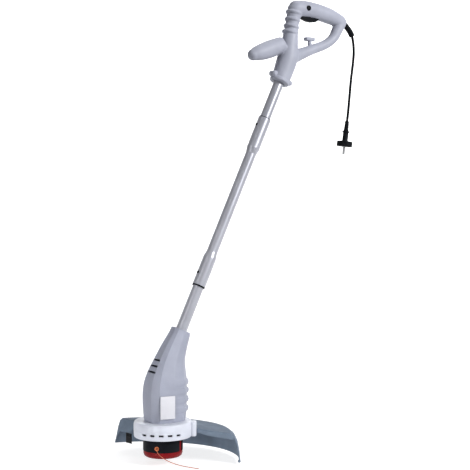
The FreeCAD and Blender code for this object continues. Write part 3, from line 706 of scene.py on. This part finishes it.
def cord_curve(name, route, diameter):
    """A smooth line by the route's points, as thick as the cord."""
    curve = bpy.data.curves.new(name, "CURVE")
    curve.dimensions = "3D"
    spline = curve.splines.new("NURBS")
    spline.points.add(len(route) - 1)
    for point, place in zip(spline.points, route):
        point.co = (*at(place), 1)
    spline.order_u = 3
    spline.use_endpoint_u = True
    spline.resolution_u = 12
    curve.bevel_depth = diameter / 2
    curve.bevel_resolution = 6
    curve.use_fill_caps = True
    piece = bpy.data.objects.new(name, curve)
    bpy.context.scene.collection.objects.link(piece)
    return piece


class TRIMMER_OT_cords(BuildOperator):
    """Mains lead with its plug and strain relief, and the free cutting line"""

    bl_idname = "trimmer.cords"
    bl_label = "Lead and line"

    def build(self, sizes, colours):
        lead = cord_curve("mains_lead", LEAD_ROUTE, sizes.lead_diameter)
        finish(lead, MATERIALS["cord"], "frame", "cord", "power_cord")
        plug = self.plug()
        finish(plug, MATERIALS["black_rubber"], "frame", "black_rubber", "plug")
        relief = self.relief()
        finish(relief, MATERIALS["black_rubber"], "frame", "black_rubber", "strain_relief")
        line = cord_curve("cutting_line", LINE_ROUTE, sizes.line_diameter)
        finish(line, MATERIALS["line"], "rotor", "line", "trimmer_line")

    def plug(self):
        """Tapered sleeve with finger rings, a square shoulder and a round two-pin face."""
        top = Vector(LEAD_ROUTE[-1])
        way = (top - Vector(LEAD_ROUTE[-2])).normalized()
        stations = [(0, 4.6), (0.6, 5.2)]
        for i in range(5):
            start = 4 + i * 3.8
            wider = i * 0.18
            stations += [(start, 5.3 + wider), (start + 0.5, 4.7 + wider), (start + 1.5, 4.7 + wider),
                         (start + 2.0, 5.45 + wider)]
        stations += [(23.6, 6.2), (24, 8.8), (24.4, 9.2), (26.6, 9.2), (27, 8.8), (27.4, 6.9), (46, 6.9),
                     (48.4, 8), (49, 17.6), (50.2, 19), (60.8, 19), (62, 17.8)]
        rings = [round_ring(top + way * along, way, radius, 48) for along, radius in stations]
        return smooth(loft("plug_body", rings))

    def relief(self):
        """Tapered sleeve with shallow ribs, along the lead's first bend."""
        line = softened_line(RELIEF_ROUTE, 12)
        rings = []
        for i, point in enumerate(line):
            ahead = Vector(line[min(i + 1, len(line) - 1)])
            behind = Vector(line[max(i - 1, 0)])
            part = i / (len(line) - 1)
            radius = 6.6 + 0.5 * part
            if part == 1:
                radius = 6.4
            elif part > 0.42 and i % 4 == 1:
                radius -= 0.7
            rings.append(round_ring(point, ahead - behind, radius, 40))
        return smooth(loft("lead_relief", rings), 50)


def ear_points():
    """Middles of the two clamp ears."""
    return [on_shaft(EAR_S, side * EAR_REACH) for side in (1, -1)]


class TRIMMER_OT_handle(BuildOperator):
    """Loop handle: two shells blended from its limbs, with the trigger, button, hook and clamp"""

    bl_idname = "trimmer.handle"
    bl_label = "Handle"

    def build(self, sizes, colours):
        form = self.form(sizes)
        near = self.half(form, "handle_near_shell", -1)
        far = self.half(form, "handle_far_shell", 1)
        bpy.data.objects.remove(form)
        finish(near, MATERIALS["handle"], "frame", "grey_shell", "handle_shell_right")
        finish(far, MATERIALS["handle"], "frame", "grey_shell", "handle_shell_left")
        trigger = copied("trigger", "trigger_lever", sizes.edge)
        finish(trigger, MATERIALS["black_plastic"], "trigger", "black_plastic", "trigger")
        button = copied("lock_button", "lock_off_button", sizes.edge)
        finish(button, MATERIALS["black_plastic"], "lock_button", "black_plastic", "lock_button")
        hook = box("lead_hook_cap", (401, -7, 934.4), (428.5, 7, 943.6), 3.2)
        carve(hook, rod("stem", (416.6, 0, 922), (-0.1, 0, 1), 4.8, 15), "UNION")
        smooth(hook, 40)
        finish(hook, MATERIALS["handle"], "frame", "grey_shell", "cord_hook")

    def form(self, sizes):
        """The limbs, rounded ends and clamp ears, melted into one smooth form."""
        parts = [limb("neck", NECK), limb("grip", GRIP), limb("arm", REAR_ARM), limb("lobe", FRONT_LOBE)]
        for x, z, radius in ROUND_ENDS:
            deselect()
            bpy.ops.mesh.primitive_ico_sphere_add(subdivisions=5, radius=radius * MM,
                                                  location=at((x, 0, z)))
            parts.append(settle(named("round_end")))
        form = joined(parts, "handle_form")
        modify(form, "REMESH", mode="VOXEL", voxel_size=sizes.blend_width, adaptivity=0)
        modify(form, "SMOOTH", factor=0.5, iterations=9)
        for x, z, radius in NECK_RINGS:
            deselect()
            bpy.ops.mesh.primitive_torus_add(
                location=at((x - 1.5, 0, z)), rotation=(0, math.radians(12), 0),
                major_radius=(radius - 0.8) * MM, minor_radius=4.3 * MM,
                major_segments=64, minor_segments=24)
            carve(form, settle(named("neck_ring")), "UNION")
        carve(form, rod("collar", on_shaft(733.6), ALONG, 23.9, 7.2, 1.2, 64), "UNION")
        carve(form, rod("web", on_shaft(EAR_S, -EAR_REACH), FRONT, 4.6, 2 * EAR_REACH), "UNION")
        for ear in ear_points():
            carve(form, across("ear", EAR_R + 0.4, ear.x, ear.z, -9.2, 9.2, 1.0), "UNION")
            carve(form, across("ear_boss", EAR_R - 2, ear.x, ear.z, -10.8, 10.8, 0.8), "UNION")
        return form

    def half(self, form, name, side):
        """One shell of the handle, with its openings, grooves and screw wells."""
        piece = form.copy()
        piece.data = form.data.copy()
        bpy.context.scene.collection.objects.link(piece)
        piece.name = name
        y_from, y_to = (SPLIT_GAP, 60) if side > 0 else (-60, -SPLIT_GAP)
        keep = box("half_space", (180, y_from, 780), (600, y_to, 1060))
        carve(piece, keep, "INTERSECT")
        carve(piece, rod("tube_way", on_shaft(700), ALONG, TUBE_R + 0.15, 101, 0, 64))
        carve(piece, box("trigger_way", (384, -7.2, 970), (440.5, 7.2, 992)))
        relief_way = Vector(RELIEF_ROUTE[1]) - Vector(RELIEF_ROUTE[0])
        carve(piece, rod("relief_way", Vector(RELIEF_ROUTE[0]) - relief_way * 0.1, relief_way, 6.7, 24))
        if side < 0:
            carve(piece, across("button_way", 6.25, 397, 1009, -30, -9, 0))
        else:
            for x, z in HANDLE_SCREWS + [(ear.x, ear.z) for ear in ear_points()]:
                carve(piece, across("well", WELL_R, x, z, 5, 30))
        carve(piece, box("arm_slot", (456, -2.2, 936), (470, 2.2, 946), 0.8))
        modify(piece, "REMESH", mode="VOXEL", voxel_size=SHELL_VOXEL, adaptivity=0)
        modify(piece, "SMOOTH", factor=0.5, iterations=2)
        return smooth(piece, 40)


def housing_ring(level, thinner=0.0, rib=0.0):
    """Points of the motor housing's section at a height, with the rear pushed out at a rib."""
    z, middle, scale = level
    half = []
    for x, y in HOUSING_SIDE:
        out = rib if x > 10 else 0.0
        back = math.copysign(out, x) * (0.9 if x > 40 else 0.3)
        half.append(((x + back) * scale, (y + out * 0.8) * scale))
    if thinner:
        half = [(x - math.copysign(min(thinner, abs(x)), x), y - thinner) for x, y in half]
    points = [(middle + x, y, z) for x, y in half]
    return points + [(middle + x, -y, z) for x, y in reversed(half)]


class TRIMMER_OT_housing(BuildOperator):
    """Motor housing: two hollow shells with rear ribs, cooling slots and a blank label"""

    bl_idname = "trimmer.housing"
    bl_label = "Motor housing"

    def build(self, sizes, colours):
        for name, side, node in (("housing_near_shell", -1, "housing_right"),
                                 ("housing_far_shell", 1, "housing_left")):
            piece = self.shell(name, side)
            finish(piece, MATERIALS["grey_shell"], "frame", "grey_shell", node)
        label = self.label()
        finish(label, MATERIALS["label"], "frame", "grey_shell")

    def levels(self):
        """Smooth levels up the housing, with extra ones that shape the ribs."""
        line = softened_line(HOUSING_LEVELS, 4)
        heights = sorted({round(level[0], 3) for level in line}
                         | {rib + step for rib in RIBS for step in (-8, -5, 0, 5, 8)})
        out = []
        for height in heights:
            below = max((level for level in line if level[0] <= height), key=lambda level: level[0])
            above = min((level for level in line if level[0] >= height), key=lambda level: level[0])
            span = above[0] - below[0]
            part = (height - below[0]) / span if span else 0
            level = tuple(a + (b - a) * part for a, b in zip(below, above))
            nearest = min(abs(height - rib) for rib in RIBS)
            bulge = RIB_HEIGHT if nearest < 1 else RIB_SHOULDER if nearest < 5.5 else 0.0
            out.append((level, bulge))
        return out

    def shell(self, name, side):
        levels = self.levels()
        piece = loft(name, [housing_ring(level, 0, bulge) for level, bulge in levels])
        modify(piece, "BEVEL", width=3.2 * MM, segments=3, limit_method="ANGLE",
               angle_limit=math.radians(17), use_clamp_overlap=True)
        above = box("above", (-100, -100, 0), (100, 100, 100))
        place = Matrix.Translation(at(on_shaft(HOUSING_TOP))) @ Matrix.Rotation(LEAN, 4, "Y")
        above.data.transform(place @ Matrix.Translation(-at((0, 0, 0))))
        carve(piece, above)
        hollow = loft("hollow", [housing_ring(level, 3.2) for level, _ in levels if level[0] <= 222])
        hollow.data.transform(Matrix.Translation((0, 0, -0.5 * MM)))
        carve(piece, hollow)
        y_from, y_to = (SPLIT_GAP, 60) if side > 0 else (-60, -SPLIT_GAP)
        carve(piece, box("half_space", (-100, y_from, 0), (200, y_to, 400)), "INTERSECT")
        carve(piece, rod("tube_way", on_shaft(60), ALONG, TUBE_R + 0.1, 140, 0, 64))
        for i in range(SLOTS):
            z = SLOT_TOP - SLOT_PITCH * i
            half = 12.5 + 1.4 * i
            carve(piece, box("slot", (-60, -half, z - 2), (-5 - 7 * i, half, z + 2), 0.6))
        if side > 0:
            for x, z in HOUSING_SCREWS:
                carve(piece, across("well", WELL_R, x, z, 7, 70))
        return smooth(piece, 28)

    def label(self):
        """A blank label with rounded corners on the near side."""
        deselect()
        piece = box("label", *LABEL, 1.2)
        piece.name = "blank_label"
        centre = at((-13, -39.6, 112))
        piece.data.transform(Matrix.Translation(centre) @ Matrix.Rotation(math.radians(LABEL_TURN), 4, "Z")
                             @ Matrix.Diagonal((1, 0.25, 1, 1)) @ Matrix.Translation(-centre))
        return smooth(piece)


def guard_ring(angle, plate, rise):
    """Points of the guard's section at an angle: collar, plate and skirt, lifted towards the rim."""
    collar_in, collar_out = 64.7, 67.7
    under = [(r - GUARD_THICK * 0.75, z - GUARD_THICK * 0.8) for r, z in plate[1:-1]]
    outline = [(collar_in, 44), (collar_in, plate[0][1])] + plate
    outline += [(plate[-1][0] - GUARD_THICK, plate[-1][1])] + list(reversed(under))
    outline += [(collar_out, plate[0][1] - 8), (collar_out, 44)]
    rim = plate[-1][0]
    turn = math.radians(angle)
    points = []
    for r, z in outline:
        lift = rise * max(0, r - collar_out) / (rim - collar_out)
        points.append((r * math.cos(turn), r * math.sin(turn), z + lift))
    return points


class TRIMMER_OT_guard(BuildOperator):
    """Guard with its raised crest and turned-down blade end, and the round base"""

    bl_idname = "trimmer.guard"
    bl_label = "Guard and base"

    def build(self, sizes, colours):
        guard = self.guard()
        finish(guard, MATERIALS["guard_plastic"], "frame", "guard_plastic", "guard")
        ring = self.ring()
        finish(ring, MATERIALS["white_ring"], "frame", "white_ring", "base_ring")
        self.paint_shade_inside(ring)

    def paint_shade_inside(self, ring):
        """Painted shade: black faces inside the base stand in for the shade in its hollow, so that its air
        slots read as dark holes.
        """
        # The black plastic here is painted shade, not a black part of the base.
        ring.data.materials.append(MATERIALS["black_plastic"])
        axis = at((0, 0, 0))
        for face in ring.data.polygons:
            away = (face.center - axis) / MM
            if away.xy.length < RING_INSIDE[0] and RING_INSIDE[1] < away.z < RING_INSIDE[2]:
                face.material_index = 1

    def guard(self):
        rises = softened_line(GUARD_RISE, 6)
        rings = [guard_ring(angle, PLATE_TOP, rise) for angle, rise in rises]
        rings.append(guard_ring(GUARD_TO, PLATE_END, 0))
        guard = loft("line_guard", rings)
        modify(guard, "BEVEL", width=1.1 * MM, segments=3, limit_method="ANGLE",
               angle_limit=math.radians(24), use_clamp_overlap=True)
        tab = box("tab", (113, -6, 14), (137, -3, 56), 0.6, BLADE_ANGLE)
        nub_at = Matrix.Rotation(math.radians(GUARD_FROM), 3, "Z") @ Vector((169, 2.5, GUARD_LOW + 0.5))
        deselect()
        bpy.ops.mesh.primitive_ico_sphere_add(subdivisions=4, radius=3.2 * MM, location=at(nub_at))
        nub = settle(named("nub"))
        lip = self.lip()
        carve(guard, lip, "UNION")
        carve(guard, tab, "UNION")
        carve(guard, nub, "UNION")
        room = box("room", (60, -15.3, 42.9), (74.3, 12.3, 78), 0, GUARD_FROM + 6)
        carve(guard, room)
        return smooth(guard, 30)

    def lip(self):
        """The thicker rim that closes the guard's near end."""
        outline = [(72, 58), (135, 49.5), (149, 49), (156, 43), (156, 36), (147, 37), (100, 44), (72, 52)]
        turn = Matrix.Rotation(math.radians(GUARD_FROM), 3, "Z")
        rings = [[turn @ Vector((r, y, z)) for r, z in outline] for y in (0.02, 3)]
        lip = loft("lip", rings)
        return modify(lip, "BEVEL", width=0.8 * MM, segments=2, limit_method="ANGLE",
                      angle_limit=math.radians(30))

    def ring(self):
        """Turned base with its locating groove, air slots and the lug beside the guard."""
        ring = spun("round_base", RING_PROFILE, 120)
        lug = box("lug", (60.9, -15, 43.2), (74, 12, 75), 3.6, GUARD_FROM + 6)
        carve(ring, lug, "UNION")
        for i in range(-VENTS_ASIDE, VENTS_ASIDE + 1):
            turn = VENT_MIDDLE + VENT_PITCH * i
            slot = box("air_slot", (54, -5.2, 52.4), (74, 5.2, 57.0), 0.5, turn)
            carve(ring, slot)
        return smooth(ring, 30)


class TRIMMER_OT_line_head(BuildOperator):
    """Line head: black cup, latched red cover and bump knob"""

    bl_idname = "trimmer.line_head"
    bl_label = "Line head"

    def build(self, sizes, colours):
        cup = copied("spool_housing", "line_head_cup", sizes.edge)
        finish(cup, MATERIALS["black_plastic"], "rotor", "black_plastic", "spool_housing")
        cover = copied("spool_cover", "line_head_cover", sizes.edge)
        finish(cover, MATERIALS["red_plastic"], "rotor", "red_plastic", "spool_cover")
        knob = copied("bump_knob", "bump_feed_knob", sizes.edge)
        finish(knob, MATERIALS["red_plastic"], "knob", "red_plastic", "bump_knob")


class TRIMMER_OT_carried_parts(BuildOperator):
    """Materials for the frame parts that keep their own shape"""

    bl_idname = "trimmer.carried_parts"
    bl_label = "Carried parts"

    def build(self, sizes, colours):
        for entry in frame["record"]["subparts"]:
            node = bpy.data.objects[entry["node"]]
            key = OWN_FINISH.get(entry["node"], entry["material_slot"])
            node.data.materials.clear()
            node.data.materials.append(MATERIALS[key])


class TRIMMER_OT_materials(BuildOperator):
    """Every finish that the pieces use"""

    bl_idname = "trimmer.materials"
    bl_label = "Materials"

    def build(self, sizes, colours):
        make_materials(colours, sizes)


OPERATORS = (TRIMMER_OT_materials, TRIMMER_OT_stage, TRIMMER_OT_cords, TRIMMER_OT_handle,
             TRIMMER_OT_housing, TRIMMER_OT_guard, TRIMMER_OT_line_head, TRIMMER_OT_carried_parts)


class TRIMMER_PT_panel(bpy.types.Panel):
    """The trimmer's builders, in the order in which they run"""

    bl_idname = "TRIMMER_PT_panel"
    bl_label = "String trimmer"
    bl_space_type = "VIEW_3D"
    bl_region_type = "UI"
    bl_category = "Trimmer"

    def draw(self, context):
        for operator in OPERATORS:
            self.layout.operator(operator.bl_idname)
        for group in (context.scene.trimmer_sizes, context.scene.trimmer_colours):
            for key in group.__annotations__:
                self.layout.prop(group, key)


CLASSES = (TrimmerColours, TrimmerSizes, *OPERATORS, TRIMMER_PT_panel)


def register():
    for item in CLASSES:
        bpy.utils.register_class(item)
    bpy.types.Scene.trimmer_colours = bpy.props.PointerProperty(type=TrimmerColours)
    bpy.types.Scene.trimmer_sizes = bpy.props.PointerProperty(type=TrimmerSizes)


def unregister():
    del bpy.types.Scene.trimmer_sizes
    del bpy.types.Scene.trimmer_colours
    for item in reversed(CLASSES):
        bpy.utils.unregister_class(item)


def main():
    register()
    for operator in OPERATORS:
        group, name = operator.bl_idname.split(".")
        getattr(getattr(bpy.ops, group), name)()


if __name__ == "__main__":
    main()
